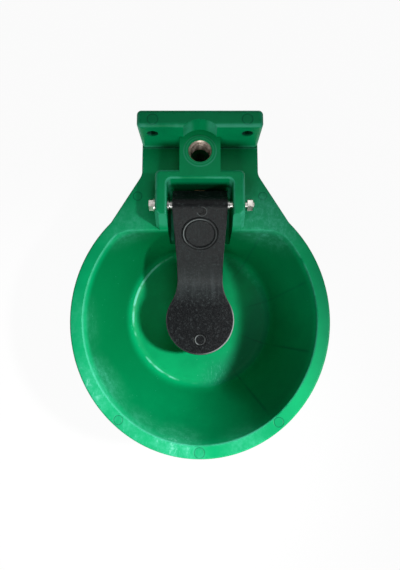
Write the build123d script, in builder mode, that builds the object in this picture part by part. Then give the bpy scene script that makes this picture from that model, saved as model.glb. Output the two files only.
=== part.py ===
"""Paddle-operated livestock drinking bowl for a wall.

Millimetres, +Z up. The origin is the middle of the two wall holes, on the wall face.
+Y points into the wall and +X to the right of someone who faces it.
"""
from build123d import *
import os
from math import cos, radians, sin, tan

os.makedirs("parts", exist_ok=True)

# ---- driving dimensions ----
# Bowl
rim_radius = 120.0  # half the rim's width
rim_long_radius = 126.7  # half its length, if it closed at the back
rim_width = 11.8  # flat top of the rim
rim_reach = 181.9  # wall face to the middle of the rim
back_wall_reach = 99.7  # wall face to the straight back wall of the bowl
corner_round = 30.0  # where the back wall turns into the side walls
bowl_depth = 86.0
floor_radius = 74.0
floor_past_back = 1.5  # the floor circle runs this far past the straight back wall
floor_round = 10.0
wall = 4.5
floor_thickness = 5.0
base_round = 14.0
edge_round = 1.5

# Deck between bowl and wall
deck_thickness = 5.0
skirt_thickness = 3.5
skirt_depth = 14.0
shoulder_angle = 45.0  # where the deck's sloping sides leave the rim
neck_width = 112.0
neck_reach = 44.5  # wall face to where the shoulders meet the neck
shoulder_round = 14.0

# Wall flange
hole_above_rim = 29.5
hole_spacing = 87.0
hole_radius = 5.25
hole_boss_radius = 9.5
flange_thickness = 16.5
flange_above_rim = 44.0
flange_below_rim = 46.0
flange_top_width = 114.0
flange_corner = 4.0
flange_edge_round = 4.0
cell_skin = 4.0
cell_rib = 3.0
cell_rows = 5
cell_columns = 2

# Inlet boss and water way
inlet_reach = 30.5  # wall face to the upright bore
block_width = 38.0
block_above_rim = 23.0
recess_radius = 20.8  # half-round space for the pipe in the flange
collar_radius = 14.6
collar_height = 0.6
insert_radius = 13.0
insert_length = 18.0
thread_radius = 9.4  # bore of a half-inch pipe thread
thread_lead_in = 1.6
insert_cover = 1.5  # moulding over the insert's outer part
chamber_radius = 10.0

# Housing around the paddle's hinge
housing_width = 83.0
housing_bar = 9.0
housing_corner = 5.0
housing_edge_round = 3.5
arm_setback = 9.1  # from the bowl's back wall to the front of the arms' flat top
arm_foot_chamfer = 3.5
pocket_width = 61.0
pocket_back_reach = 57.0
pocket_depth = 42.0
pocket_fall = 8.0  # the pocket's floor falls this far towards the bowl
pocket_corner = 4.5
pocket_edge_round = 2.5
pocket_wall = 5.0
gusset_thickness = 4.0
gusset_reach = 60.0  # below the rim, where the inner gussets meet the bowl

# Hinge
hinge_reach = 78.3
hinge_above_rim = 10.0
pin_radius = 3.0
pin_clearance = 0.2
head_width = 10.0  # across flats, also the nut's
head_height = 4.6
washer_radius = 6.25
washer_thickness = 1.6
nut_height = 5.2
nut_stand_off = 2.6
thread_past_nut = 1.2
bolt_chamfer = 0.6
spacer_radius = 5.0
sleeve_radius = 4.2
sleeve_overhang = 2.2
running_clearance = 0.06
fit_clearance = 0.02

# Paddle
paddle_width = 51.4
waist_width = 45.6
waist_behind_pad = 53.7
pad_radius = 34.6
pad_reach = 180.7
bend_reach = 148.0
neck_slope = 43.0
pad_slope = 5.0
bend_radius = 40.0
flare_radius = 45.0
waist_round = 120.0
hub_radius = 7.6
tray_depth = 7.0
tray_skin = 3.6
tray_wall = 3.2
paddle_rib = 3.0
paddle_edge_round = 1.1
ring_height = 0.6
ring_band = 1.3
neck_ring_reach = 103.0
neck_ring_radius = 16.2
pad_ring_reach = 200.5
pad_ring_radius = 5.4
heel_back = 14.8  # the heel's rear corner behind the hinge
heel_corner_drop = 3.0
heel_drop = 35.0
heel_rake = 2.8
heel_thickness = 6.0

# Valve
valve_below_rim = 20.0
head_flats = 18.0
valve_head = 4.0
gasket_thickness = 1.0
gasket_radius = 12.0
counterbore_radius = 13.0
cartridge_radius = 9.0
cartridge_length = 14.0
spring_bore_radius = 6.0
seat_bore_radius = 4.5
seat_length = 5.0
guide_thickness = 2.0
guide_holes = 4
guide_hole_radius = 0.9
guide_hole_circle = 4.4
stem_radius = 2.5
stem_head_radius = 3.75
stem_head_height = 1.5
stem_head_round = 1.4
heel_gap = 0.45
button_radius = 5.4
button_thickness = 2.5
wire_radius = 0.6
coil_radius = 4.2
coils = 6
seal_radius = 6.5
seal_thickness = 3.0
plate_radius = 6.8
plate_thickness = 1.5
stem_nut_width = 8.0
stem_nut_height = 3.2
stem_past_nut = 1.0

# Lower port
port_insert_length = 16.0
plug_length = 12.0
plug_head_width = 24.0
plug_head_height = 6.0
plug_socket_width = 10.0
plug_socket_depth = 9.0
plug_gasket_radius = 13.0
plug_gasket_thickness = 1.5

# ---- derived places ----
rim_z = -hole_above_rim
rim_y = -rim_reach
back_y = -back_wall_reach
inlet_y = -inlet_reach
flange_y = -flange_thickness
pocket_y = -pocket_back_reach
hinge_y = -hinge_reach
hinge_z = rim_z + hinge_above_rim
valve_z = rim_z - valve_below_rim
block_top_z = rim_z + block_above_rim
insert_top_z = block_top_z - insert_cover
block_bottom_z = rim_z - flange_below_rim
flange_top_z = rim_z + flange_above_rim
housing_rear_y = pocket_y + housing_bar
arm_top_y = back_y + arm_setback
floor_y = back_y - floor_radius + floor_past_back
floor_z = rim_z - bowl_depth
flange_middle_z = (flange_top_z + block_bottom_z) / 2
arm_face = housing_width / 2
pad_y = -pad_reach
waist_y = pad_y + waist_behind_pad
upright_axis = (0, inlet_y)
valve_plane = Plane(origin=(0, pocket_y, valve_z), x_dir=(1, 0, 0), z_dir=(0, 1, 0))


def export(piece, name):
    piece.part.label = name
    export_step(piece.part, f"parts/{name}.step")


# ---- bowl body ----
def bowl_outline(half_width, half_length, middle_y, grow):
    """An oval or circle that the straight back wall cuts off, with rounded corners."""
    with BuildSketch() as outline:
        with Locations((0, middle_y)):
            Ellipse(half_width + grow, half_length + grow)
        with Locations((0, back_y + grow)):
            Rectangle(4 * half_width, half_length, align=(Align.CENTER, Align.MIN), mode=Mode.SUBTRACT)
        fillet(outline.vertices().sort_by(Axis.Y)[-2:], corner_round + grow)
    return outline.sketch


def bowl_form(grow, bottom_z, bottom_round):
    """The bowl's inside, or its outside once it has grown by the wall."""
    with BuildPart() as form:
        with BuildSketch(Plane.XY.offset(rim_z)):
            add(bowl_outline(rim_radius - rim_width, rim_long_radius - rim_width, rim_y, grow))
        with BuildSketch(Plane.XY.offset(bottom_z)):
            add(bowl_outline(floor_radius, floor_radius, floor_y, grow))
        loft()
        fillet(form.edges().group_by(Axis.Z)[0], bottom_round)
    return form.part


def plan_outline(inset):
    """The whole moulding seen from above: rim, sloping shoulders and neck."""
    half_width = rim_radius - inset
    half_length = rim_long_radius - inset
    half_neck = neck_width / 2 - inset
    shoulder_x = half_width * cos(radians(shoulder_angle))
    shoulder_y = rim_y + half_length * sin(radians(shoulder_angle))
    with BuildSketch() as outline:
        with Locations((0, rim_y)):
            Ellipse(half_width, half_length)
        Polygon(
            (-shoulder_x, shoulder_y),
            (-half_neck, -neck_reach),
            (-half_neck, flange_y),
            (half_neck, flange_y),
            (half_neck, -neck_reach),
            (shoulder_x, shoulder_y),
            align=None,
        )
        for kink_y in (-neck_reach, shoulder_y):
            kinks = outline.vertices().filter_by(lambda v: abs(v.Y - kink_y) < 0.01)
            fillet(kinks, shoulder_round)
    return outline.sketch


def side_profile(points, half_width):
    """A solid with this outline in the YZ plane, to both sides of the middle."""
    with BuildPart() as solid:
        with BuildSketch(Plane.YZ):
            Polygon(*points, align=None)
        extrude(amount=half_width, both=True)
    return solid.part


def housing_block():
    """The U round the hinge, before its pocket is cut: flat top and sloping arm ends."""
    profile = [
        (housing_rear_y, rim_z - deck_thickness),
        (housing_rear_y, block_top_z),
        (arm_top_y, block_top_z),
        (back_y, rim_z),
        (back_y, rim_z - deck_thickness),
    ]
    with BuildPart() as housing:
        add(side_profile(profile, arm_face))
        fillet(housing.edges().filter_by(Axis.Z).group_by(Axis.Y)[-1], housing_corner)
        front = housing.edges().filter_by(lambda e: abs(e.center().X) > 1 and e.center().Y < arm_top_y)
        chamfer(front, arm_foot_chamfer)
        outer = housing.faces().filter_by(Axis.Z).sort_by(Axis.Z)[-1].edges()
        fillet(outer - outer.group_by(Axis.Y)[0], housing_edge_round)
    return housing.part


def pocket_form():
    """The space between the arms that the paddle swings in, open towards the bowl."""
    front = back_y - rim_width
    fall = pocket_fall * (front - pocket_y) / (back_y - pocket_y)
    profile = [
        (pocket_y, block_top_z + 1),
        (pocket_y, rim_z - pocket_depth),
        (front, rim_z - pocket_depth - fall),
        (front, block_top_z + 1),
    ]
    with BuildPart() as pocket:
        add(side_profile(profile, pocket_width / 2))
        fillet(pocket.edges().filter_by(Axis.Z).group_by(Axis.Y)[-1], pocket_corner)
        fillet(pocket.edges().group_by(Axis.Z)[1:3], pocket_corner)
    return pocket.part


def flange_block():
    """The solid wall flange: a little wider at the top, rounded in front and at its corners."""
    half_neck = neck_width / 2
    half_top = flange_top_width / 2
    with BuildPart() as flange:
        with BuildSketch(Plane.XZ):
            Polygon(
                (-half_neck, block_bottom_z),
                (half_neck, block_bottom_z),
                (half_neck, rim_z),
                (half_top, flange_top_z),
                (-half_top, flange_top_z),
                (-half_neck, rim_z),
                align=None,
            )
        extrude(amount=flange_thickness)
        upright = flange.edges().filter_by(lambda e: abs(e.tangent_at(0.5).Z) > 0.9)
        fillet(upright.group_by(Axis.Y)[-1], flange_corner)
        fillet(upright.group_by(Axis.Y)[0], flange_edge_round)
        top = flange.faces().sort_by(Axis.Z)[-1].edges()
        fillet(top - top.group_by(Axis.Y)[-1], flange_edge_round)
    return flange.part


def flange_cells():
    """Hollows in the back of the flange, with solid metal left round the wall holes."""
    inner = block_width / 2 + cell_rib
    outer = neck_width / 2 - cell_skin
    across = (outer - inner + cell_rib) / cell_columns
    upward = (flange_top_z - block_bottom_z - 2 * cell_skin + cell_rib) / cell_rows
    with BuildSketch() as cells:
        for side in (-1, 1):
            with Locations((side * (inner + outer) / 2, flange_middle_z)):
                with GridLocations(across, upward, cell_columns, cell_rows):
                    Rectangle(across - cell_rib, upward - cell_rib)
        with GridLocations(hole_spacing, 0, 2, 1):
            Circle(hole_boss_radius, mode=Mode.SUBTRACT)
    return cells.sketch


def gusset(offset, points):
    """Two upright webs under the deck, one on each side of the middle."""
    with BuildPart() as webs:
        with BuildSketch(Plane.YZ.offset(offset - gusset_thickness / 2)):
            Polygon(*points, align=None)
        extrude(amount=gusset_thickness)
        mirror(about=Plane.YZ)
    return webs.part


def pocket_mouth(edge):
    """Whether this edge is on the inside of the U's flat top."""
    middle = edge.center()
    inside = abs(middle.X) < pocket_width / 2 + 0.01 and middle.Y < pocket_y + 0.01
    return inside and abs(middle.Z - block_top_z) < 0.01


outline = plan_outline(0)
cavity = bowl_form(0, floor_z, floor_round)
shell = bowl_form(wall, floor_z - floor_thickness, base_round)
inner_gusset = [
    (flange_y, rim_z - 1),
    (flange_y, block_bottom_z),
    (back_y - corner_round, rim_z - gusset_reach),
    (back_y - corner_round, rim_z - 1),
]
outer_gusset = [
    (flange_y / 2, rim_z - 1),
    (flange_y / 2, block_bottom_z),
    (-neck_reach - shoulder_round, rim_z - skirt_depth),
    (-neck_reach - shoulder_round, rim_z - 1),
]

with BuildPart() as bowl_body:
    # Deck and rim, with a turned-down lip
    with BuildSketch(Plane.XY.offset(rim_z)):
        add(outline)
    extrude(amount=-deck_thickness)
    with BuildSketch(Plane.XY.offset(rim_z)):
        add(outline)
        add(plan_outline(skirt_thickness), mode=Mode.SUBTRACT)
    extrude(amount=-skirt_depth)
    add(shell)
    add(gusset(pocket_width / 2 + pocket_wall, inner_gusset))
    add(cavity, mode=Mode.SUBTRACT)
    fillet(bowl_body.faces().sort_by(Axis.Z)[-1].edges(), edge_round)
    add(gusset((neck_width - gusset_thickness) / 2, outer_gusset))
    add(housing_block())
    add(flange_block())
    # Upright block that holds the valve and the inlet
    with BuildSketch(Plane.XY.offset(block_bottom_z)):
        with Locations((0, pocket_y)):
            Rectangle(block_width, pocket_back_reach, align=(Align.CENTER, Align.MIN))
    extrude(amount=block_above_rim + flange_below_rim)
    # Walls of the pocket under the deck
    with BuildSketch(Plane.XY.offset(rim_z)):
        with Locations((0, back_y)):
            Rectangle(
                pocket_width + 2 * pocket_wall,
                back_wall_reach - pocket_back_reach + pocket_wall,
                align=(Align.CENTER, Align.MIN),
            )
    extrude(amount=-pocket_depth - pocket_fall - pocket_wall)
    add(pocket_form(), mode=Mode.SUBTRACT)
    fillet(bowl_body.edges().filter_by(pocket_mouth), pocket_edge_round)
    # Half-round space for the pipe, down to a low collar round the inlet
    with BuildSketch(Plane.XY.offset(block_top_z)):
        with Locations(upright_axis):
            Circle(recess_radius)
    extrude(amount=flange_above_rim, mode=Mode.SUBTRACT)
    with BuildSketch(Plane.XY.offset(block_top_z)):
        with Locations(upright_axis):
            Circle(collar_radius)
    extrude(amount=collar_height)
    # Back of the flange and the wall holes
    with BuildSketch(Plane.XZ):
        add(flange_cells())
    extrude(amount=flange_thickness - cell_skin, mode=Mode.SUBTRACT)
    with BuildSketch(Plane.XZ):
        with GridLocations(hole_spacing, 0, 2, 1):
            Circle(hole_radius)
    extrude(amount=flange_thickness, mode=Mode.SUBTRACT)
    # Upright water way: its mouth, the seats of both inserts and the chamber between them
    with BuildSketch(Plane.XY.offset(insert_top_z)):
        with Locations(upright_axis):
            Circle(thread_radius + thread_lead_in)
    extrude(amount=flange_above_rim, mode=Mode.SUBTRACT)
    with BuildSketch(Plane.XY.offset(block_bottom_z)):
        with Locations(upright_axis):
            Circle(chamber_radius)
    extrude(amount=flange_above_rim + flange_below_rim, mode=Mode.SUBTRACT)
    with BuildSketch(Plane.XY.offset(insert_top_z - insert_length)):
        with Locations(upright_axis):
            Circle(insert_radius)
    extrude(amount=insert_length, mode=Mode.SUBTRACT)
    with BuildSketch(Plane.XY.offset(block_bottom_z)):
        with Locations(upright_axis):
            Circle(insert_radius)
    extrude(amount=port_insert_length, mode=Mode.SUBTRACT)
    # Level bore for the valve, with a counterbore for its head
    with BuildSketch(valve_plane):
        Circle(cartridge_radius)
    extrude(amount=inlet_y - pocket_y, mode=Mode.SUBTRACT)
    with BuildSketch(valve_plane):
        Circle(counterbore_radius)
    extrude(amount=valve_head + gasket_thickness, mode=Mode.SUBTRACT)
    # Hole for the hinge bolt through both arms
    with BuildSketch(Plane.YZ):
        with Locations((hinge_y, hinge_z)):
            Circle(pin_radius + pin_clearance)
    extrude(amount=arm_face, both=True, mode=Mode.SUBTRACT)

export(bowl_body, "bowl_body")


# ---- inlet and lower port ----
def threaded_insert(name, mouth_z, length, inward):
    """A tube with a pipe thread's bore and a lead-in at its mouth."""
    with BuildPart() as insert:
        with BuildSketch(Plane.XY.offset(mouth_z)):
            with Locations(upright_axis):
                Circle(insert_radius)
                Circle(thread_radius, mode=Mode.SUBTRACT)
        extrude(amount=length * inward)
        mouth = insert.faces().sort_by(Axis.Z)[0 if inward > 0 else -1]
        chamfer(mouth.inner_wires().edges(), thread_lead_in)
    export(insert, name)


threaded_insert("inlet_insert", insert_top_z, insert_length, -1)
threaded_insert("port_insert", block_bottom_z, port_insert_length, 1)

with BuildPart() as plug_gasket:
    with BuildSketch(Plane.XY.offset(block_bottom_z)):
        with Locations(upright_axis):
            Circle(plug_gasket_radius)
            Circle(thread_radius, mode=Mode.SUBTRACT)
    extrude(amount=-plug_gasket_thickness)

export(plug_gasket, "plug_gasket")

plug_face_z = block_bottom_z - plug_gasket_thickness
plug_bottom_z = plug_face_z - plug_head_height
with BuildPart() as port_plug:
    with BuildSketch(Plane.XY.offset(plug_face_z)):
        with Locations(upright_axis):
            Circle(thread_radius - fit_clearance)
    extrude(amount=plug_length)
    chamfer(port_plug.faces().sort_by(Axis.Z)[-1].edges(), thread_lead_in)
    with BuildSketch(Plane.XY.offset(plug_bottom_z)):
        with Locations(upright_axis):
            RegularPolygon(plug_head_width / 2, 6, major_radius=False)
    extrude(amount=plug_head_height)
    with BuildSketch(Plane.XY.offset(plug_bottom_z)):
        with Locations(upright_axis):
            RegularPolygon(plug_socket_width / 2, 6, major_radius=False)
    extrude(amount=plug_socket_depth, mode=Mode.SUBTRACT)

export(port_plug, "port_plug")


# ---- valve ----
# Places along the valve's axis are counted from the pocket's rear wall, towards the inlet.
def ring(start, end, outer, inner=0.0):
    """A disc or ring on the valve's axis."""
    with BuildPart() as solid:
        with BuildSketch(valve_plane.offset(start)):
            Circle(outer)
            if inner > 0:
                Circle(inner, mode=Mode.SUBTRACT)
        extrude(amount=end - start)
    return solid.part


heel_slope = heel_rake / (heel_drop - heel_corner_drop)
heel_fall = hinge_z - valve_z - heel_corner_drop
heel_face = hinge_y + heel_back - heel_fall * heel_slope - pocket_y
shoulder = valve_head + gasket_thickness
seat_face = shoulder + cartridge_length
guide_seat = seat_face - seat_length
spring_end = guide_seat - guide_thickness
stem_tip = heel_face + heel_gap
button_face = stem_tip + stem_head_height
spring_start = button_face + button_thickness
seal_face = seat_face + fit_clearance
plate_face = seal_face + seal_thickness
nut_face = plate_face + plate_thickness
stem_end = nut_face + stem_nut_height + stem_past_nut

with BuildPart() as valve_body:
    with BuildSketch(valve_plane):
        RegularPolygon(head_flats / 2, 6, major_radius=False)
    extrude(amount=valve_head)
    add(ring(valve_head, seat_face, cartridge_radius - fit_clearance))
    add(ring(0, guide_seat, spring_bore_radius), mode=Mode.SUBTRACT)
    add(ring(guide_seat, seat_face, seat_bore_radius), mode=Mode.SUBTRACT)

export(valve_body, "valve_body")

with BuildPart() as valve_gasket:
    add(ring(valve_head, shoulder, gasket_radius, cartridge_radius))

export(valve_gasket, "valve_gasket")

with BuildPart() as stem_guide:
    add(ring(spring_end, guide_seat, spring_bore_radius - fit_clearance, stem_radius + running_clearance))
    with BuildSketch(valve_plane.offset(spring_end)):
        with PolarLocations(guide_hole_circle, guide_holes):
            Circle(guide_hole_radius)
    extrude(amount=guide_thickness, mode=Mode.SUBTRACT)

export(stem_guide, "stem_guide")

with BuildPart() as valve_stem:
    add(ring(stem_tip, button_face, stem_head_radius))
    fillet(valve_stem.faces().sort_by(Axis.Y)[0].edges(), stem_head_round)
    add(ring(button_face, stem_end, stem_radius))

export(valve_stem, "valve_stem")

with BuildPart() as stem_button:
    add(ring(button_face, spring_start, button_radius, stem_radius + fit_clearance))
    fillet(stem_button.faces().sort_by(Axis.Y)[0].outer_wire().edges(), stem_head_round)

export(stem_button, "stem_button")

spring_length = spring_end - spring_start - 2 * (wire_radius + fit_clearance)
with BuildPart() as valve_spring:
    with BuildLine() as coil:
        Helix(
            pitch=spring_length / coils,
            height=spring_length,
            radius=coil_radius,
            center=valve_plane.offset(spring_start + wire_radius + fit_clearance).origin,
            direction=valve_plane.z_dir,
        )
    with BuildSketch(Plane(origin=coil.line @ 0, z_dir=coil.line % 0)):
        Circle(wire_radius)
    sweep()

export(valve_spring, "valve_spring")

with BuildPart() as seal_disc:
    add(ring(seal_face, plate_face, seal_radius, stem_radius))

export(seal_disc, "seal_disc")

with BuildPart() as seal_plate:
    add(ring(plate_face, nut_face, plate_radius, stem_radius))

export(seal_plate, "seal_plate")

with BuildPart() as stem_nut:
    with BuildSketch(valve_plane.offset(nut_face)):
        RegularPolygon(stem_nut_width / 2, 6, major_radius=False)
        Circle(stem_radius, mode=Mode.SUBTRACT)
    extrude(amount=stem_nut_height)

export(stem_nut, "stem_nut")


# ---- hinge ----
# Places across the hinge are counted along +X from the middle.
def across_hinge(start, end, outer, inner=0.0, sides=0):
    """A disc, ring or hexagon on the hinge's axis."""
    with BuildPart() as solid:
        with BuildSketch(Plane.YZ.offset(start)):
            with Locations((hinge_y, hinge_z)):
                if sides:
                    RegularPolygon(outer, sides, major_radius=False)
                else:
                    Circle(outer)
                if inner > 0:
                    Circle(inner, mode=Mode.SUBTRACT)
        extrude(amount=end - start)
    return solid.part


head_face = -arm_face - washer_thickness
nut_start = arm_face + nut_stand_off
nut_end = nut_start + nut_height

with BuildPart() as hinge_bolt:
    add(across_hinge(head_face - head_height, head_face, head_width / 2, sides=6))
    chamfer(hinge_bolt.faces().sort_by(Axis.X)[0].edges(), bolt_chamfer)
    add(across_hinge(head_face, nut_end + thread_past_nut, pin_radius))
    chamfer(hinge_bolt.faces().sort_by(Axis.X)[-1].edges(), bolt_chamfer)

export(hinge_bolt, "hinge_bolt")

with BuildPart() as head_washer:
    add(across_hinge(head_face, -arm_face, washer_radius, pin_radius + pin_clearance))

export(head_washer, "head_washer")

with BuildPart() as hinge_nut:
    add(across_hinge(nut_start, nut_end, head_width / 2, pin_radius, sides=6))
    chamfer(hinge_nut.faces().sort_by(Axis.X)[-1].outer_wire().edges(), bolt_chamfer)

export(hinge_nut, "hinge_nut")

with BuildPart() as spacer_washer:
    arm_inside = -pocket_width / 2
    add(across_hinge(arm_inside, arm_inside + washer_thickness, spacer_radius, pin_radius + pin_clearance))

export(spacer_washer, "spacer_washer")

sleeve_end = paddle_width / 2 + sleeve_overhang
with BuildPart() as pivot_sleeve:
    add(across_hinge(-sleeve_end, sleeve_end, sleeve_radius, pin_radius + running_clearance))

export(pivot_sleeve, "pivot_sleeve")


# ---- paddle ----
def paddle_line(depth):
    """Side view of the paddle's top, this much deeper: hub end, bend and tip."""
    neck = radians(neck_slope)
    pad = radians(pad_slope)
    middle = (neck + pad) / 2
    stretch = 1 / cos((neck - pad) / 2)
    start_y = hinge_y - hub_radius * sin(neck)
    start_z = hinge_z + hub_radius * cos(neck)
    bend_y = -bend_reach
    bend_z = start_z - (start_y - bend_y) * tan(neck)
    tip_y = -pad_reach - 2 * pad_radius
    tip_z = bend_z - (bend_y - tip_y) * tan(pad)
    return [
        (start_y + depth * sin(neck), start_z - depth * cos(neck)),
        (bend_y + depth * sin(middle) * stretch, bend_z - depth * cos(middle) * stretch),
        (tip_y + depth * sin(pad), tip_z - depth * cos(pad)),
    ]


def paddle_slab(top_depth, bottom_depth, plan):
    """The paddle's side view between two depths, as far as its plan reaches."""
    top = paddle_line(top_depth)
    bottom = paddle_line(bottom_depth)
    with BuildPart() as slab:
        with BuildSketch(Plane.YZ) as side:
            Polygon(*top, *reversed(bottom), align=None)
            fillet(side.vertices().sort_by_distance(top[1])[0], bend_radius + top_depth)
            fillet(side.vertices().sort_by_distance(bottom[1])[0], bend_radius + bottom_depth)
        extrude(amount=2 * pad_radius, both=True)
        with BuildSketch(Plane.XY.offset(floor_z)):
            add(plan)
        extrude(amount=bowl_depth + block_above_rim, mode=Mode.INTERSECT)
    return slab.part


def paddle_plan(inset, rear):
    """Seen from above: straight sides, a waist and a round pad."""
    half_width = paddle_width / 2 - inset
    half_waist = waist_width / 2 - inset
    with BuildSketch() as plan:
        Polygon(
            (-half_waist, pad_y),
            (-half_waist, waist_y),
            (-half_width, hinge_y - hub_radius),
            (-half_width, rear),
            (half_width, rear),
            (half_width, hinge_y - hub_radius),
            (half_waist, waist_y),
            (half_waist, pad_y),
            align=None,
        )
        with Locations((0, pad_y)):
            Circle(pad_radius - inset)
        flares = plan.vertices().filter_by(lambda v: waist_y > v.Y > pad_y)
        fillet(flares, flare_radius + inset)
        waist = plan.vertices().filter_by(lambda v: abs(v.Y - waist_y) < 0.01)
        fillet(waist, waist_round)
    return plan.sketch


def raised_ring(reach, slope, start, radius):
    """A low ring on the paddle's top, on the slope that starts at this point."""
    angle = radians(slope)
    height = start[1] - (start[0] + reach) * tan(angle)
    seat = Plane(origin=(0, -reach, height), x_dir=(1, 0, 0), z_dir=(0, -sin(angle), cos(angle)))
    with BuildPart() as solid:
        with BuildSketch(seat.offset(-ring_height)):
            Circle(radius)
            Circle(radius - ring_band, mode=Mode.SUBTRACT)
        extrude(amount=2 * ring_height)
    return solid.part


hollow_plan = paddle_plan(tray_wall, hinge_y - hub_radius)
with BuildSketch() as rib:
    with Locations((0, pad_y)):
        Rectangle(paddle_rib, pad_reach - hinge_reach, align=(Align.CENTER, Align.MIN))
rib_plan = rib.sketch
heel = [
    (hinge_y, hinge_z + hub_radius),
    (hinge_y + heel_back, hinge_z - heel_corner_drop),
    (hinge_y + heel_back - heel_rake, hinge_z - heel_drop),
    (hinge_y + heel_back - heel_rake - heel_thickness, hinge_z - heel_drop),
    (hinge_y, hinge_z - hub_radius),
]

with BuildPart() as paddle:
    add(paddle_slab(0, tray_depth, paddle_plan(0, hinge_y)))
    tops = paddle.faces().filter_by(lambda f: f.normal_at().Z > 0.5)
    sides = paddle.faces().filter_by(lambda f: abs(f.normal_at().Z) < 0.01)
    rounded = (tops.edges() & sides.edges()).filter_by(lambda e: e.center().Y < hinge_y - hub_radius)
    fillet(rounded, paddle_edge_round)
    with BuildSketch(Plane.YZ):
        Polygon(*heel, align=None)
        with Locations((hinge_y, hinge_z)):
            Circle(hub_radius)
    extrude(amount=paddle_width / 2, both=True)
    # Hollow underside with a middle rib
    add(paddle_slab(tray_skin, tray_depth + 1, hollow_plan), mode=Mode.SUBTRACT)
    add(paddle_slab(0, tray_depth, rib_plan))
    add(across_hinge(-paddle_width, paddle_width, sleeve_radius + fit_clearance), mode=Mode.SUBTRACT)
    # Moulded rings on the neck and on the pad
    add(raised_ring(neck_ring_reach, neck_slope, paddle_line(0)[0], neck_ring_radius))
    add(raised_ring(pad_ring_reach, pad_slope, paddle_line(0)[1], pad_ring_radius))

export(paddle, "paddle")
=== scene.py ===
import math

import bmesh
import bpy
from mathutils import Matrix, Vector


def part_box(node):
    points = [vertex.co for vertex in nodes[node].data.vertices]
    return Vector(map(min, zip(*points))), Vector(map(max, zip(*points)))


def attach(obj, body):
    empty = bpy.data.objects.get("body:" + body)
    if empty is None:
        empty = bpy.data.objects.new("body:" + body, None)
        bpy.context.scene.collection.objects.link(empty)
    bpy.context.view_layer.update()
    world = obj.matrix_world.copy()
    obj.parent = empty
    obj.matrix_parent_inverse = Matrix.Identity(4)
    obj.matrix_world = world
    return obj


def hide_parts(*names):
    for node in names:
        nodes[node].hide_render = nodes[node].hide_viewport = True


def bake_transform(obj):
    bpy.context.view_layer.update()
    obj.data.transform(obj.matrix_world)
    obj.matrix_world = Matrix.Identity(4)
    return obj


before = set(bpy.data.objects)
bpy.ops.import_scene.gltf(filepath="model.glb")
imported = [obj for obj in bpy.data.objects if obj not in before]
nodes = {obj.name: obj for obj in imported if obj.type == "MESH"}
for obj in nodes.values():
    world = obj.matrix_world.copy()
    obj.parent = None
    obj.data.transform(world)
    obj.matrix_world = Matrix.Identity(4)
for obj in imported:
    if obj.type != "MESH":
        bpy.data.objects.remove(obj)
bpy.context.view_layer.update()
print("stage: frame loaded,", len(nodes), "nodes")

rimHeight = -0.0295  # top of the rim and deck, below the wall holes
bowlAxisY = -0.1819  # middle of the bowl's mouth
floorAxisY = -0.1722  # middle of the round floor
inletAxisY = -0.0305  # middle of the pipe's thread


class Wire:  # one socket of a shader, which takes part in sums
    def __init__(self, finish, socket):
        self.finish = finish
        self.socket = socket

    def sum(self, operation, first, second):
        return self.finish.make("ShaderNodeMath", [first, second], operation=operation)

    def __add__(self, other):
        return self.sum("ADD", self, other)

    def __radd__(self, other):
        return self.sum("ADD", other, self)

    def __sub__(self, other):
        return self.sum("SUBTRACT", self, other)

    def __rsub__(self, other):
        return self.sum("SUBTRACT", other, self)

    def __mul__(self, other):
        return self.sum("MULTIPLY", self, other)

    def __rmul__(self, other):
        return self.sum("MULTIPLY", other, self)

    def __truediv__(self, other):
        return self.sum("DIVIDE", self, other)

    def __rtruediv__(self, other):
        return self.sum("DIVIDE", other, self)

    def __pow__(self, other):
        return self.sum("POWER", self, other)

    def __rpow__(self, other):
        return self.sum("POWER", other, self)

    def __abs__(self):
        return self.sum("ABSOLUTE", self, 0.0)

    def atMost(self, other):
        return self.sum("MINIMUM", self, other)

    def atLeast(self, other):
        return self.sum("MAXIMUM", self, other)

    def rise(self, low, high):  # 0 below low, 1 above high, smooth between
        feeds = {"Value": self, "From Min": low, "From Max": high}
        return self.finish.make("ShaderNodeMapRange", feeds, interpolation_type="SMOOTHSTEP")

    def fall(self, low, high):
        return 1.0 - self.rise(low, high)

    def near(self, value, width):  # 1 at the value, 0 a width away
        return abs(self - value).fall(0.0, width)


def strongest(masks):  # the highest of several masks
    top = masks[0]
    for mask in masks[1:]:
        top = top.atLeast(mask)
    return top


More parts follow.
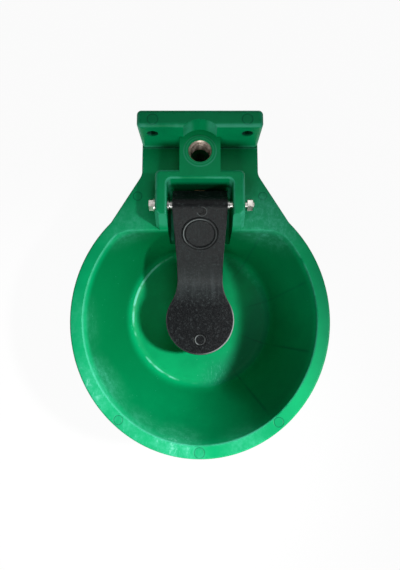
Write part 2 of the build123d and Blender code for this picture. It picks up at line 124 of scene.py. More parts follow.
class Finish:  # one material and the nodes in it
    def __init__(self, name, **constants):
        self.material = bpy.data.materials.new(name)
        self.material.use_nodes = True
        self.tree = self.material.node_tree
        self.shader = self.tree.nodes["Principled BSDF"]
        for socket, value in constants.items():
            self.shader.inputs[socket.replace("_", " ")].default_value = value

    def make(self, kind, feeds=(), output=0, **settings):
        node = self.tree.nodes.new(kind)
        for key, value in settings.items():
            setattr(node, key, value)
        for key, value in feeds.items() if isinstance(feeds, dict) else enumerate(feeds):
            self.join(node.inputs[key], value)
        return Wire(self, node.outputs[output])

    def join(self, socket, value):
        if isinstance(value, Wire):
            self.tree.links.new(value.socket, socket)
        else:
            socket.default_value = value

    def place(self):
        return self.make("ShaderNodeTexCoord", output="Object")

    def normal(self):  # its three parts
        return self.parts(self.make("ShaderNodeTexCoord", output="Normal"))

    def parts(self, vector):
        split = self.make("ShaderNodeSeparateXYZ", [vector]).socket.node
        return [Wire(self, socket) for socket in split.outputs]

    def stretched(self, place, factors):
        return self.make("ShaderNodeVectorMath", [place, factors], operation="MULTIPLY")

    def distance(self, place, point):
        feeds = [place, point]
        return self.make("ShaderNodeVectorMath", feeds, output="Value", operation="DISTANCE")

    def noise(self, place, scale, detail=3.0, roughness=0.55):
        feeds = {"Vector": place, "Scale": scale, "Detail": detail, "Roughness": roughness}
        return self.make("ShaderNodeTexNoise", feeds)

    def cells(self, place, scale):
        feeds = {"Vector": place, "Scale": scale}
        return self.make("ShaderNodeTexVoronoi", feeds, output="Distance")

    def blend(self, factor, first, second):
        node = self.tree.nodes.new("ShaderNodeMix")
        node.data_type = "RGBA"
        self.join(node.inputs[0], factor)
        self.join(node.inputs[6], first)
        self.join(node.inputs[7], second)
        return Wire(self, node.outputs[2])

    def bump(self, height, depth, strength):
        feeds = {"Height": height, "Distance": depth, "Strength": strength}
        return self.make("ShaderNodeBump", feeds)

    def feed(self, **wires):
        for socket, value in wires.items():
            self.join(self.shader.inputs[socket.replace("_", " ")], value)

    def dress(self, *names):
        for name in names:
            for slot in nodes[name].material_slots:
                slot.material = self.material


def colour(red, green, blue):
    return (red, green, blue, 1.0)


# Camera
cameraSettings = {"place": (0.0, -0.2333, 0.4505), "tilt": 9.549, "lens": 33.04, "near": 0.01}
cameraData = bpy.data.cameras.new("camera")
cameraData.lens = cameraSettings["lens"]
cameraData.clip_start = cameraSettings["near"]
camera = bpy.data.objects.new("camera", cameraData)
camera.location = cameraSettings["place"]
camera.rotation_euler = (math.radians(cameraSettings["tilt"]), 0.0, 0.0)
bpy.context.collection.objects.link(camera)
bpy.context.scene.camera = camera
bpy.context.scene.view_settings.view_transform = "Standard"
print("stage: camera")

# Green moulding
greenSettings = {
    "deep": colour(0.0, 0.275, 0.098),
    "light": colour(0.0, 0.375, 0.130),
    # painted shade on the bowl's inner wall
    "wall": colour(0.0, 0.130, 0.036),
    # pale green for scuffs and wear, also laid on as painted highlights on edges
    "scuff": colour(0.090, 0.56, 0.38),
    "bare": colour(0.300, 0.760, 0.600),
    # haze on the shaded floor, partly scuffing and partly painted reflection
    "hazeAndReflection": colour(0.012, 0.150, 0.095),
    # dark green for the ejector marks, also laid on as painted shade
    "dirtAndPaintedShade": colour(0.0, 0.070, 0.040),
    # painted shade inside the wall holes
    "holeShade": colour(0.0, 0.012, 0.007),
    "marks": [  # ejector marks: place and radius
        ((0.0425, -0.0095, 0.0145), 0.0048),
        ((-0.0425, -0.0095, 0.0145), 0.0048),
        ((0.0599, -0.066, rimHeight), 0.0038),
        ((-0.0599, -0.066, rimHeight), 0.0042),
        ((-0.0007, -0.3029, rimHeight), 0.0046),
        ((0.0702, -0.2764, rimHeight), 0.0043),
        ((-0.0731, -0.2746, rimHeight), 0.0040),
    ],
    "markLine": 0.00065,
    "markEdge": 0.0003,
    "scuffs": [  # where it is rubbed: place, reach and how much
        ((-0.100, -0.250, rimHeight), 0.050, 0.9),
        ((-0.062, -0.288, rimHeight), 0.040, 0.7),
        ((-0.025, -0.303, rimHeight), 0.040, 1.0),
        ((0.040, -0.296, rimHeight), 0.030, 0.5),
        ((0.066, -0.090, rimHeight), 0.048, 1.0),
        ((-0.068, -0.098, rimHeight), 0.034, 0.55),
        ((-0.113, -0.190, rimHeight), 0.040, 0.35),
    ],
    "scuffCore": 0.15,  # share of the reach that is rubbed in full
    "frontRub": (0.016, -0.236, -0.1155),
    "mouth": (0.1082, 0.1149),  # half the width and length of the bowl's mouth
    "wallHoles": [(0.0435, 0.0, 0.0), (-0.0435, 0.0, 0.0)],
    "ribShadows": {"rate": 1.5915, "shift": 5.0556},  # ten in a turn
    "levels": {  # heights over the rim between which a look comes or goes
        "wallTop": (-0.010, -0.002),
        "wallFoot": (-0.0855, -0.0720),
        "floor": (-0.0845, -0.0800),
        "floorEdge": (-0.079, -0.072),
        "bowl": (-0.014, -0.006),
        "ribShadows": (-0.014, -0.004),
        "rim": (-0.004, -0.002),
        "deck": (-0.004, -0.001),
        "flangeFoot": (0.0020, 0.0055),
        "inletTop": (0.018, 0.021),
    },
    "spans": {  # other measures between which a look comes or goes
        "base": (0.30, 0.70),
        "smudges": (0.40, 0.74),
        "wallShade": (-0.27, -0.12),
        "mouthFront": (-0.1050, -0.1010),
        "mouthCorners": (0.0036, 0.0056),  # of the distance from the middle, squared
        "hazeOut": (0.040, 0.058),
        "hazeRight": (0.030, 0.062),
        "frontRub": (0.004, 0.024),
        "dustBack": (-0.158, -0.130),
        "dustRight": (0.008, 0.030),
        "speck": (0.03, 0.11),
        "edgeLeft": (-0.045, 0.000),
        "bandsRight": (0.020, 0.045),
        "bandsUp": (0.02, 0.12),  # of how far a face looks up
        "bandsOut": (0.045, 0.060),
        "bandsFront": (-0.185, -0.150),
        "bareFront": (-0.20, -0.12),
        "holeShade": (0.0052, 0.0055),
        "inFlange": (-0.0162, -0.0140),
        "square": (0.80, 0.97),  # of how squarely a face stands to an axis
        "behindBowl": (-0.0990, -0.0960),
        "sideShadeRight": (0.085, 0.130),
        "sideShadeLeft": (-0.130, -0.090),
        "foot": (0.30, 0.50),
    },
    "lines": {  # where a line is and how wide
        "mouth": (1.0, 0.024),
        "mouthBack": (-0.1002, 0.0011),
        "floorEdge": (0.0722, 0.0015),
        "dustArc": (0.0700, 0.0065),
        "band": (0.5, 0.035),
        "foot": (-0.0173, 0.0017),
        "collar": (0.0150, 0.0009),
        "collarInner": (0.0126, 0.0007),
    },
    "noises": {  # scale, detail and roughness
        "broad": (11.0, 3.0, 0.55),
        "middle": (75.0, 5.0, 0.65),
        "fine": (1100.0, 3.0, 0.55),
        "smudges": (150.0, 6.0, 0.72),
    },
    "speckScale": 210.0,
    "scratchGrain": {"detail": 6.0, "roughness": 0.75},
    "scratches": ((1.0, 0.30, 1.0), 520.0, 0.50, 0.72),  # stretch, scale and span
    "crossed": ((0.25, 1.0, 1.0), 480.0, 0.54, 0.76),
    "slants": {"wallShade": 0.8, "hazeAndReflection": 0.6},  # how far a span's edge turns
    "cover": 0.9,  # worn places let a little of the colour below through
    "patches": {  # what breaks a mark up: scale and span
        "mouth": (48.0, 0.30, 0.52),
        "specks": (60.0, 0.50, 0.60),
        "floorEdge": (42.0, 0.40, 0.60),
        "ribShadows": (25.0, 0.30, 0.50),
        "edges": (38.0, 0.34, 0.62),
    },
    "strengths": {
        "wall": 0.38,
        "wallBack": 0.45,
        "ribShadows": 0.25,
        "bandsFront": 0.20,
        "hazeAndReflection": 0.45,
        "markLine": 0.60,
        "markDisc": 0.12,
        "scuff": 0.80,
        "bare": 0.7,
        "specks": 0.7,
        "floorEdge": 1.1,
        "dustArc": 0.4,
        "frontRub": 0.55,
        "mouth": 0.42,
        "holeShade": 0.92,
        "edges": 0.50,
        "sideShadeRight": 0.55,
        "sideShadeLeft": 0.26,
        "collar": 0.55,
        "collarInner": 0.30,
        "foot": 0.7,
    },
    "baseMix": {"broad": 0.7, "middle": 0.3},
    "scuffMix": {"scratches": 0.45, "crossed": 0.35, "smudges": 0.50, "film": 0.18},
    "bareFrom": {"gain": 1.6, "least": 0.7},
    "relief": {"fine": 0.20, "middle": 0.45, "marks": 2.6, "scratches": 0.5, "ribShadows": 0.4},
    "roughness": {"least": 0.38, "middle": 0.10, "scuff": 0.22},
    "bump": {"depth": 0.00013, "strength": 0.6},
}


def greenMoulding(settings):
    green = Finish("green_moulding", IOR=1.47, Specular_IOR_Level=0.10)
    spot = green.place()
    x, y, z = green.parts(spot)
    normal = green.normal()
    levels = settings["levels"]
    spans = settings["spans"]
    lines = settings["lines"]
    strength = settings["strengths"]

    def over(level):
        low, high = levels[level]
        return z.rise(rimHeight + low, rimHeight + high)

    def under(level):
        low, high = levels[level]
        return z.fall(rimHeight + low, rimHeight + high)

    def scratched(stretch, scale, low, high):
        drawn = green.stretched(spot, stretch)
        return green.noise(drawn, scale, **settings["scratchGrain"]).rise(low, high)

    def patchy(name):
        scale, low, high = settings["patches"][name]
        return green.noise(spot, scale).rise(low, high)

    noises = {name: green.noise(spot, *noise) for name, noise in settings["noises"].items()}
    broad = noises["broad"]
    middle = noises["middle"]
    smudges = noises["smudges"].rise(*spans["smudges"])
    scratches = scratched(*settings["scratches"])
    crossed = scratched(*settings["crossed"])

    # Round marks that the ejectors left
    markLines = []
    markDiscs = []
    for point, radius in settings["marks"]:
        away = green.distance(spot, point)
        markLines.append(away.near(radius, settings["markLine"]))
        markDiscs.append(away.fall(radius - settings["markEdge"], radius))
    markLines = strongest(markLines)
    markDiscs = strongest(markDiscs)

    # Where muzzles and brushes rub the rim and the deck
    rubbed = []
    for point, reach, amount in settings["scuffs"]:
        core = reach * settings["scuffCore"]
        rubbed.append(green.distance(spot, point).fall(core, reach) * amount)
    rubbed = strongest(rubbed)
    mix = settings["scuffMix"]
    scuffing = scratches * mix["scratches"] + crossed * mix["crossed"] + smudges * mix["smudges"]
    scuffing = (scuffing + mix["film"]).atMost(1.0) * rubbed
    bareFrom = settings["bareFrom"]
    rubbedThrough = (scuffing * bareFrom["gain"] - bareFrom["least"]).atLeast(0.0)
    rubbedThrough = rubbedThrough * y.fall(*spans["bareFront"])

    # Painted highlight along the edge of the bowl's mouth, an ellipse with a straight back
    halfWidth, halfLength = settings["mouth"]
    across = x / halfWidth
    along = (y - bowlAxisY) / halfLength
    curved = (across * across + along * along).near(*lines["mouth"])
    curved = curved * y.fall(*spans["mouthFront"])
    straight = y.near(*lines["mouthBack"]) * (x * x).fall(*spans["mouthCorners"])
    mouth = curved.atLeast(straight) * over("rim") * patchy("mouth")

    # Floor of the bowl: haze on its shaded right side, partly scuffing and partly painted
    # reflection, a pale line along its edge on the left, an arc of dust and a rubbed place
    onFloor = under("floor")
    flatY = y - floorAxisY
    fromAxis = (x * x + flatY * flatY) ** 0.5
    hazeAndReflection = (x - flatY * settings["slants"]["hazeAndReflection"]).rise(*spans["hazeRight"])
    hazeAndReflection = fromAxis.rise(*spans["hazeOut"]) * hazeAndReflection * onFloor
    floorEdge = fromAxis.near(*lines["floorEdge"]) * under("floorEdge")
    floorEdge = floorEdge * patchy("floorEdge") * x.fall(*spans["edgeLeft"])
    dustArc = fromAxis.near(*lines["dustArc"]) * y.rise(*spans["dustBack"])
    dustArc = dustArc * x.rise(*spans["dustRight"]) * smudges * onFloor
    frontRub = green.distance(spot, settings["frontRub"]).fall(*spans["frontRub"]) * scratches
    specks = green.cells(spot, settings["speckScale"]).fall(*spans["speck"]) * patchy("specks")

    # Painted shadows of the outer ribs, seen through the plastic as bands on the right of the
    # bowl's inner wall
    outward = [y - (bowlAxisY + floorAxisY) / 2, x]
    angle = green.make("ShaderNodeMath", outward, operation="ARCTAN2")
    turned = angle * settings["ribShadows"]["rate"] + settings["ribShadows"]["shift"]
    sector = green.make("ShaderNodeMath", [turned], operation="FRACT")
    ribShadows = sector.near(*lines["band"]) * x.rise(*spans["bandsRight"]) * under("ribShadows")
    ribShadows = ribShadows * normal[2].rise(*spans["bandsUp"]) * fromAxis.rise(*spans["bandsOut"])
    ribShadows = ribShadows * patchy("ribShadows")

    # Painted shade inside the wall holes, pale lines on the block's edges that are partly wear and
    # partly painted highlight, the foot of the flange and the inlet's collar
    flat = green.stretched(spot, (1.0, 0.0, 1.0))
    holeShades = [green.distance(flat, point).fall(*spans["holeShade"]) for point in settings["wallHoles"]]
    holeShades = strongest(holeShades) * y.rise(*spans["inFlange"])
    # Pale lines where faces round over, partly wear and partly painted highlight
    square = strongest([part * part for part in normal])
    edges = square.fall(*spans["square"]) * y.rise(*spans["behindBowl"]) * patchy("edges")
    foot = y.near(*lines["foot"]) * under("flangeFoot") * broad.rise(*spans["foot"])
    fromInlet = green.distance(green.stretched(spot, (1.0, 1.0, 0.0)), (0.0, inletAxisY, 0.0))
    collar = fromInlet.near(*lines["collar"]) * strength["collar"]
    collar = collar + fromInlet.near(*lines["collarInner"]) * strength["collarInner"]
    # Painted shade on the rim and deck towards the right and left sides, more on the right
    sideShade = x.rise(*spans["sideShadeRight"]) * strength["sideShadeRight"]
    sideShade = sideShade + x.fall(*spans["sideShadeLeft"]) * strength["sideShadeLeft"]

    # Painted shade: the inner wall darker, more so towards the left and the back
    wallShade = (y - x * settings["slants"]["wallShade"]).rise(*spans["wallShade"])
    wallShade = wallShade * strength["wallBack"]
    wallShadeAmount = under("wallTop") * over("wallFoot") * (strength["wall"] + wallShade)
    bandsSeen = strength["ribShadows"] + y.fall(*spans["bandsFront"]) * strength["bandsFront"]
    worn = specks * under("bowl") * strength["specks"] + floorEdge * strength["floorEdge"]
    worn = worn + dustArc * strength["dustArc"] + frontRub * onFloor * strength["frontRub"]
    cover = settings["cover"]
    layers = [  # how much of each colour goes on, in turn
        (wallShadeAmount, "wall"),
        (ribShadows * bandsSeen, "dirtAndPaintedShade"),
        (hazeAndReflection * strength["hazeAndReflection"], "hazeAndReflection"),
        (markLines * strength["markLine"] + markDiscs * strength["markDisc"], "dirtAndPaintedShade"),
        (scuffing * strength["scuff"], "scuff"),
        ((floorEdge + rubbedThrough * strength["bare"]).atMost(cover), "bare"),
        # wear, plus the painted highlight on the mouth's edge
        ((worn + mouth * strength["mouth"]).atMost(cover), "scuff"),
        (holeShades * strength["holeShade"], "holeShade"),
        (edges * strength["edges"], "scuff"),
        (sideShade * over("deck"), "dirtAndPaintedShade"),
        (collar * over("inletTop"), "scuff"),
        (foot * strength["foot"], "scuff"),
    ]
    mix = settings["baseMix"]
    base = (broad * mix["broad"] + middle * mix["middle"]).rise(*spans["base"])
    tone = green.blend(base, settings["deep"], settings["light"])
    for amount, name in layers:
        tone = green.blend(amount, tone, settings[name])
    mix = settings["relief"]
    relief = noises["fine"] * mix["fine"] + middle * mix["middle"] - markLines * mix["marks"]
    relief = relief + scratches * rubbed * mix["scratches"] - ribShadows * mix["ribShadows"]
    rough = settings["roughness"]
    green.feed(
        Base_Color=tone,
        Roughness=rough["least"] + middle * rough["middle"] + scuffing * rough["scuff"],
        Normal=green.bump(relief, **settings["bump"]),
    )
    green.dress("bowl_body")


greenMoulding(greenSettings)
print("stage: green moulding")

# Black moulding of the paddle
blackSettings = {
    "deep": colour(0.0026, 0.0036, 0.0042),
    "worn": colour(0.0095, 0.0125, 0.0130),
    # also laid on as painted reflection at the bend
    "dust": colour(0.060, 0.072, 0.074),
    # painted highlight on edges and crests
    "paintedHighlight": colour(0.300, 0.330, 0.330),
    # painted shade: the pad darker than the neck
    "pad": colour(0.0010, 0.0016, 0.0024),
    "groove": colour(0.0004, 0.0006, 0.0007),
    "crescent": (0.0018, -0.0858, -0.0161),
    "bite": (-0.0006, -0.0846, -0.0150),
    "ring": (0.0, -0.1030, -0.0319),
    "padRing": (0.0, -0.2005, 0.0),
    "padAxis": (0.0, -0.1807, 0.0),
    "noises": {  # scale, detail and roughness
        "grain": (650.0, 4.0, 0.7),
        "mottle": (260.0, 6.0, 0.75),
        "cloud": (30.0, 4.0, 0.55),
        "dust": (480.0, 3.0, 0.55),
        "flank": (70.0, 3.0, 0.55),
    },
    "drawn": {"stretch": (1.0, 0.07, 0.07), "scale": 300.0, "detail": 4.0},
    "chipScale": 330.0,
    "spans": {  # measures between which a look comes or goes
        "neck": (-0.172, -0.150),
        "base": (0.38, 0.66),
        "streaks": (0.40, 0.75),
        "dust": (0.50, 0.66),
        "dustPatches": (0.40, 0.58),
        "chip": (0.05, 0.16),
        "chipPatches": (0.50, 0.60),
        "crescent": (0.0040, 0.0044),
        "bite": (0.0036, 0.0040),
        "biteEdge": (0.0030, 0.0038),
        "ringLit": (-0.1040, -0.0900),
        "padRingLit": (-0.0035, 0.0),
        "flankPatches": (0.25, 0.55),
        "padFront": (-0.178, -0.160),
        "padRight": (-0.010, 0.022),
    },
    "lines": {  # where a line is and how wide
        "bendReflection": (-0.146, 0.022),
        "crescent": (0.0045, 0.0006),
        "ringInner": (0.0142, 0.0007),
        "ringOuter": (0.0170, 0.0009),
        "ringCrest": (0.0156, 0.0008),
        "padRing": (0.0062, 0.0008),
        "padRingCrest": (0.0048, 0.0007),
        "flank": (0.40, 0.36),
        "padRim": (0.0340, 0.0009),
    },
    "strengths": {
        "pad": 0.80,
        "dust": 0.42,
        "chips": 0.45,
        "bendReflection": 0.50,
        "groove": 0.85,
        "crescent": 0.30,
        "flank": 0.30,
    },
    "shares": {  # what is there in any case and what a mask adds
        "bendReflection": (0.35, 0.65),
        "ring": (0.10, 0.55),
        "padRing": (0.12, 0.50),
        "padRim": (0.10, 0.75),
        "dust": (0.75, 0.25),
    },
    "ringSlant": 0.9,  # how far the lit side of the ring turns
    "covers": {"dust": 0.8, "paintedHighlight": 0.9},
    "baseMix": {"mottle": 0.6, "cloud": 0.4},
    "relief": {"grain": 0.5, "mottle": 1.0, "grooves": 1.0, "streaks": 0.2},
    "roughness": {"least": 0.24, "mottle": 0.24, "dust": 0.2},
    "bump": {"depth": 0.00042, "strength": 0.9},
}


def blackMoulding(settings):
    black = Finish("black_moulding", IOR=1.48, Specular_IOR_Level=0.15)
    spot = black.place()
    x, y = black.parts(spot)[:2]
    lean = black.normal()[0]
    flat = black.stretched(spot, (1.0, 1.0, 0.0))
    spans = settings["spans"]
    lines = settings["lines"]
    strength = settings["strengths"]
    covers = settings["covers"]

    def uneven(name, mask):
        always, more = settings["shares"][name]
        return always + mask * more

    noises = {name: black.noise(spot, *noise) for name, noise in settings["noises"].items()}
    mottle = noises["mottle"]
    cloud = noises["cloud"]
    neck = y.rise(*spans["neck"])

    # Dust, chips and painted reflection in streaks near the bend
    drawn = settings["drawn"]
    streaks = black.noise(black.stretched(spot, drawn["stretch"]), drawn["scale"], drawn["detail"])
    streaks = streaks.rise(*spans["streaks"])
    bendReflection = y.near(*lines["bendReflection"]) * uneven("bendReflection", streaks)
    dust = noises["dust"].rise(*spans["dust"]) * mottle.rise(*spans["dustPatches"])
    chips = black.cells(spot, settings["chipScale"]).fall(*spans["chip"])
    chips = chips * cloud.rise(*spans["chipPatches"])
    dusty = (dust * strength["dust"] + chips * strength["chips"]).atMost(covers["dust"])

    # Crescent, ring on the neck and small ring on the pad
    fromMoon = black.distance(spot, settings["crescent"])
    fromBite = black.distance(spot, settings["bite"])
    fromRing = black.distance(spot, settings["ring"])
    fromPadRing = black.distance(flat, settings["padRing"])
    grooves = strongest([
        fromRing.near(*lines["ringInner"]),
        fromRing.near(*lines["ringOuter"]),
        fromPadRing.near(*lines["padRing"]),
        fromMoon.fall(*spans["crescent"]) * fromBite.rise(*spans["bite"]),
    ])

    # Painted highlights on the rings' crests, the crescent's edge, the neck's flanks and the pad's
    # rim, stronger on the lit side
    ringLit = (y - x * settings["ringSlant"]).rise(*spans["ringLit"])
    padRingLit = x.fall(*spans["padRingLit"])
    crest = fromRing.near(*lines["ringCrest"]) * uneven("ring", ringLit)
    crest = crest + fromPadRing.near(*lines["padRingCrest"]) * uneven("padRing", padRingLit)
    moonEdge = fromMoon.near(*lines["crescent"]) * fromBite.rise(*spans["biteEdge"])
    crest = crest + moonEdge * strength["crescent"]
    flank = (lean * lean).near(*lines["flank"])
    flank = flank * noises["flank"].rise(*spans["flankPatches"])
    fromPad = black.distance(flat, settings["padAxis"])
    padRim = fromPad.near(*lines["padRim"]) * y.fall(*spans["padFront"])
    padRim = padRim * uneven("padRim", x.rise(*spans["padRight"]))
    paintedHighlight = (crest + flank * strength["flank"] + padRim).atMost(covers["paintedHighlight"])

    layers = [  # how much of each colour goes on, in turn
        # painted shade: the pad darker than the neck
        ((1.0 - neck) * strength["pad"], "pad"),
        (dusty * uneven("dust", neck), "dust"),
        # painted reflection near the bend, in the dust colour
        (bendReflection * strength["bendReflection"], "dust"),
        (grooves * strength["groove"], "groove"),
        (paintedHighlight, "paintedHighlight"),
    ]
    mix = settings["baseMix"]
    base = (mottle * mix["mottle"] + cloud * mix["cloud"]).rise(*spans["base"])
    tone = black.blend(base, settings["deep"], settings["worn"])
    for amount, name in layers:
        tone = black.blend(amount, tone, settings[name])
    mix = settings["relief"]
    relief = noises["grain"] * mix["grain"] + mottle * mix["mottle"] - grooves * mix["grooves"]
    relief = relief + streaks * neck * mix["streaks"]
    rough = settings["roughness"]
    black.feed(
        Base_Color=tone,
        Roughness=rough["least"] + mottle * rough["mottle"] + dust * rough["dust"],
        Normal=black.bump(relief, **settings["bump"]),
    )
    black.dress("paddle")


blackMoulding(blackSettings)
print("stage: black moulding")

# Metals
metalSettings = {  # the stretch runs the grain along an axis
    "bolt_steel": {
        "tint": colour(0.62, 0.60, 0.56),
        "shade": colour(0.36, 0.34, 0.31),
        "roughness": 0.20,
        "stretch": (1.0, 0.2, 1.0),
        "scale": 900.0,
        "pieces": ["hinge_bolt", "hinge_nut", "head_washer"],
    },
    "stainless": {
        "tint": colour(0.34, 0.34, 0.33),
        "shade": colour(0.16, 0.16, 0.16),
        "roughness": 0.24,
        "stretch": (0.05, 1.0, 1.0),
        "scale": 1400.0,
        "pieces": ["pivot_sleeve", "spacer_washer", "valve_stem"],
    },
    "brass_valve": {
        "tint": colour(0.66, 0.50, 0.25),
        "shade": colour(0.40, 0.28, 0.13),
        "roughness": 0.22,
        "stretch": (1.0, 0.15, 1.0),
        "scale": 800.0,
        "pieces": ["valve_body", "stem_button", "stem_guide", "seal_plate", "stem_nut"],
    },
    "brass_plug": {
        "tint": colour(0.60, 0.46, 0.24),
        "shade": colour(0.36, 0.26, 0.14),
        "roughness": 0.28,
        "stretch": (1.0, 1.0, 0.15),
        "scale": 700.0,
        "pieces": ["port_plug"],
    },
    "brass_insert": {
        "tint": colour(0.50, 0.42, 0.35),
        "shade": colour(0.24, 0.18, 0.14),
        "roughness": 0.30,
        "stretch": (1.0, 1.0, 0.1),
        "scale": 600.0,
        "pieces": ["inlet_insert", "port_insert"],
    },
    "spring_steel": {
        "tint": colour(0.58, 0.57, 0.55),
        "shade": colour(0.40, 0.39, 0.37),
        "roughness": 0.22,
        "stretch": (1.0, 1.0, 1.0),
        "scale": 1200.0,
        "pieces": ["valve_spring"],
    },
}


metalGrain = {  # what all the metals share
    "drawn": {"detail": 4.0, "roughness": 0.7},
    "stain": {"scale": 180.0, "detail": 4.0},
    "span": (0.40, 0.68),
    "rough": {"drawn": 0.18, "stain": 0.10},
    "relief": {"drawn": 0.6, "stain": 0.4},
    "bump": {"depth": 0.00006, "strength": 0.6},
}


def metal(name, settings, grain):
    made = Finish(name, Metallic=1.0)
    spot = made.place()
    along = made.stretched(spot, settings["stretch"])
    drawn = made.noise(along, settings["scale"], **grain["drawn"])
    stain = made.noise(spot, **grain["stain"])
    rough = settings["roughness"] + drawn * grain["rough"]["drawn"]
    rough = rough + stain * grain["rough"]["stain"]
    relief = drawn * grain["relief"]["drawn"] + stain * grain["relief"]["stain"]
    made.feed(
        Base_Color=made.blend(stain.rise(*grain["span"]), settings["tint"], settings["shade"]),
        Roughness=rough,
        Normal=made.bump(relief, **grain["bump"]),
    )
    made.dress(*settings["pieces"])
    return made.material


metals = {name: metal(name, settings, metalGrain) for name, settings in metalSettings.items()}
print("stage: metals")

# Seals
sealSettings = {
    "fibre_seal": {
        "dark": colour(0.16, 0.035, 0.022),
        "pale": colour(0.34, 0.09, 0.055),
        "roughness": 0.75,
        "stretch": (1.0, 1.0, 0.3),
        "noise": (900.0, 5.0, 0.8),  # scale, detail and roughness
        "span": (0.35, 0.65),
        "bump": (0.00015, 0.8),  # depth and strength
        "pieces": ["plug_gasket", "valve_gasket"],
    },
    "seal_rubber": {
        "dark": colour(0.012, 0.012, 0.012),
        "pale": colour(0.045, 0.045, 0.045),
        "roughness": 0.6,
        "stretch": (1.0, 1.0, 1.0),
        "noise": (300.0, 4.0, 0.55),
        "span": (0.4, 0.7),
        "bump": (0.00008, 0.6),
        "pieces": ["seal_disc"],
    },
}
for name, settings in sealSettings.items():
    seal = Finish(name, Roughness=settings["roughness"])
    weave = seal.noise(seal.stretched(seal.place(), settings["stretch"]), *settings["noise"])
    seal.feed(
        Base_Color=seal.blend(weave.rise(*settings["span"]), settings["dark"], settings["pale"]),
        Normal=seal.bump(weave, *settings["bump"]),
    )
    seal.dress(*settings["pieces"])
print("stage: seals")


def stitch(shape, rings):  # joins each ring of points to the next with faces
    for first, second in zip(rings, rings[1:]):
        for index, point in enumerate(first):
            after = (index + 1) % len(first)
            shape.faces.new((point, first[after], second[after], second[index]))


def pieceFrom(shape, name, material):
    bmesh.ops.recalc_face_normals(shape, faces=shape.faces)
    mesh = bpy.data.meshes.new(name)
    shape.to_mesh(mesh)
    shape.free()
    for face in mesh.polygons:
        face.use_smooth = len(face.vertices) == 4  # an end cap has more and stays flat
    mesh.materials.append(material)
    piece = bpy.data.objects.new(name, mesh)
    bpy.context.collection.objects.link(piece)
    return piece


# Threaded insert of the inlet, with a real pipe thread
insertSettings = {
    "top": -0.0080,
    "length": 0.018,
    "outer": 0.013,
    "crest": 0.0094,
    "thread": 0.00105,  # depth
    "pitch": 0.001814,
    "flat": 0.2,  # share of the pitch that is flat at the crest
    "leadIn": 0.0016,
    "around": 96,
    "perTurn": 9,
    "sharp": 40,  # degrees, edges above this stay sharp
}


def threadedInsert(settings):
    shape = bmesh.new()
    around = settings["around"]
    top = settings["top"]
    length = settings["length"]
    crest = settings["crest"]
    levels = int(length / (settings["pitch"] / settings["perTurn"])) + 1
    rings = []

    def ring(radiusAt, height):
        row = []
        for index in range(around):
            turn = index / around
            radius = radiusAt(turn)
            swing = turn * 2 * math.pi
            across = radius * math.cos(swing)
            along = inletAxisY + radius * math.sin(swing)
            row.append(shape.verts.new((across, along, height)))
        rings.append(row)

    ring(lambda turn: settings["outer"], top - length)
    ring(lambda turn: settings["outer"], top)
    for level in range(levels + 1):
        height = top - length * level / levels

        def threadRadius(turn):
            phase = ((top - height) / settings["pitch"] + turn) % 1.0
            ridge = min(1.0, (0.5 - abs(phase - 0.5)) / (0.5 - settings["flat"] / 2))
            radius = crest + settings["thread"] * (1.0 - ridge)
            return max(radius, crest + settings["leadIn"] - (top - height))

        ring(threadRadius, height)
    rings.append(rings[0])
    stitch(shape, rings)
    piece = pieceFrom(shape, "threaded_insert", metals["brass_insert"])
    piece.data.set_sharp_from_angle(angle=math.radians(settings["sharp"]))
    return piece


insert = threadedInsert(insertSettings)
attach(insert, "bowl")
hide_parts("inlet_insert")
print("stage: threaded insert")

# Return spring of the valve; the real one shortens as the stem goes in, this coil keeps the part's
# length
springSettings = {"turns": 6, "wire": 0.0006, "perTurn": 28, "around": 8}


def coilSpring(settings):
    low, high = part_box("valve_spring")
    middleX = (low[0] + high[0]) / 2
    middleZ = (low[2] + high[2]) / 2
    wire = settings["wire"]
    coilRadius = (high[0] - low[0]) / 2 - wire
    start = low[1] + wire
    length = high[1] - low[1] - 2 * wire
    steps = settings["turns"] * settings["perTurn"]
    shape = bmesh.new()
    rings = []
    for step in range(steps + 1):
        swing = 2 * math.pi * step / settings["perTurn"]
        along = start + length * step / steps
        row = []
        for index in range(settings["around"]):
            roll = 2 * math.pi * index / settings["around"]
            radius = coilRadius + wire * math.cos(roll)
            row.append(shape.verts.new((
                middleX + radius * math.cos(swing),
                along + wire * math.sin(roll),
                middleZ + radius * math.sin(swing),
            )))
        rings.append(row)
    stitch(shape, rings)
    shape.faces.new(rings[0][::-1])
    shape.faces.new(rings[-1])
    piece = pieceFrom(shape, "coil_spring", metals["spring_steel"])
    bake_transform(piece)
    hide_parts("valve_spring")


coilSpring(springSettings)
print("stage: return spring")

# Floor
floorSettings = {
    "place": (0.0, -0.15),
    "height": -0.1205,  # the bowl's underside
    "gap": 0.0002,
    "half": 6.0,
    "dark": colour(0.80, 0.80, 0.80),
    "pale": colour(0.84, 0.84, 0.84),
    "fibres": {"scale": 60.0, "detail": 4.0},
    "roughness": 0.9,
    "glow": 0.95,
}


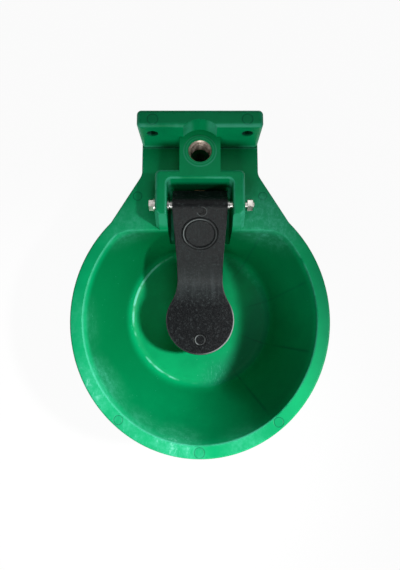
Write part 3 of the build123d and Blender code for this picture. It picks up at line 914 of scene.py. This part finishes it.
def paperFloor(settings):
    half = settings["half"]
    corners = [(-half, -half, 0), (half, -half, 0), (half, half, 0), (-half, half, 0)]
    mesh = bpy.data.meshes.new("floor")
    mesh.from_pydata(corners, [], [(0, 1, 2, 3)])
    floor = bpy.data.objects.new("floor", mesh)
    floor.location = (*settings["place"], settings["height"] - settings["gap"])
    bpy.context.collection.objects.link(floor)
    paper = Finish("paper", Roughness=settings["roughness"])
    fibres = paper.noise(paper.place(), **settings["fibres"])
    paper.feed(Base_Color=paper.blend(fibres, settings["dark"], settings["pale"]))

    # White where it is seen, straight or in metal, and lit like paper for all else
    rays = paper.tree.nodes.new("ShaderNodeLightPath").outputs
    kinds = ["Is Camera Ray", "Is Glossy Ray", "Is Transmission Ray"]
    seen = strongest([Wire(paper, rays[kind]) for kind in kinds])
    glow = paper.tree.nodes.new("ShaderNodeEmission")
    mixer = paper.tree.nodes.new("ShaderNodeMixShader")
    surface = paper.tree.nodes["Material Output"].inputs[0]
    paper.join(mixer.inputs[0], seen * settings["glow"])
    paper.tree.links.new(paper.shader.outputs[0], mixer.inputs[1])
    paper.tree.links.new(glow.outputs[0], mixer.inputs[2])
    paper.tree.links.new(mixer.outputs[0], surface)
    mesh.materials.append(paper.material)
    return floor


floor = paperFloor(floorSettings)
print("stage: floor")

# Light
keySettings = {
    "place": (0.827, -0.330, 0.920),
    "aim": (-0.050, -0.298, -0.05),
    "cone": 22.8,
    "fade": 1.0,
    "radius": 0.068,
    "watts": 110.0,
}
softSettings = [  # name, place, aim, size, watts
    ("topLight", (0.05, 0.08, 0.48), (0.0, -0.06, -0.02), 0.25, 0.32),
    ("frontLight", (-0.02, -0.75, 0.24), (0.0, -0.06, -0.02), 0.30, 2.3),
]
skySettings = {"level": 0.090, "inMetal": 0.50}  # the second is what polished metal shows


def aimed(name, data, place, aim):
    lamp = bpy.data.objects.new(name, data)
    lamp.location = place
    lamp.rotation_euler = (Vector(aim) - Vector(place)).to_track_quat("-Z", "Y").to_euler()
    bpy.context.collection.objects.link(lamp)


def studioSky(settings):
    world = bpy.data.worlds.new("studio")
    world.use_nodes = True
    tree = world.node_tree
    background = tree.nodes["Background"]
    background.inputs[0].default_value = colour(1.0, 1.0, 1.0)
    rays = tree.nodes.new("ShaderNodeLightPath")
    level = tree.nodes.new("ShaderNodeMapRange")
    level.inputs["To Min"].default_value = settings["level"]
    level.inputs["To Max"].default_value = settings["inMetal"]
    tree.links.new(rays.outputs["Is Glossy Ray"], level.inputs["Value"])
    seen = tree.nodes.new("ShaderNodeMath")
    seen.operation = "MAXIMUM"
    tree.links.new(level.outputs[0], seen.inputs[0])
    tree.links.new(rays.outputs["Is Camera Ray"], seen.inputs[1])
    tree.links.new(seen.outputs[0], background.inputs[1])
    return world


keyData = bpy.data.lights.new("keyLight", "SPOT")
keyData.energy = keySettings["watts"]
keyData.shadow_soft_size = keySettings["radius"]
keyData.spot_size = math.radians(keySettings["cone"])
keyData.spot_blend = keySettings["fade"]
aimed("keyLight", keyData, keySettings["place"], keySettings["aim"])
for name, place, aim, size, watts in softSettings:
    data = bpy.data.lights.new(name, "AREA")
    data.size = size
    data.energy = watts
    aimed(name, data, place, aim)
bpy.context.scene.world = studioSky(skySettings)
print("stage: light")

print("stage: done")
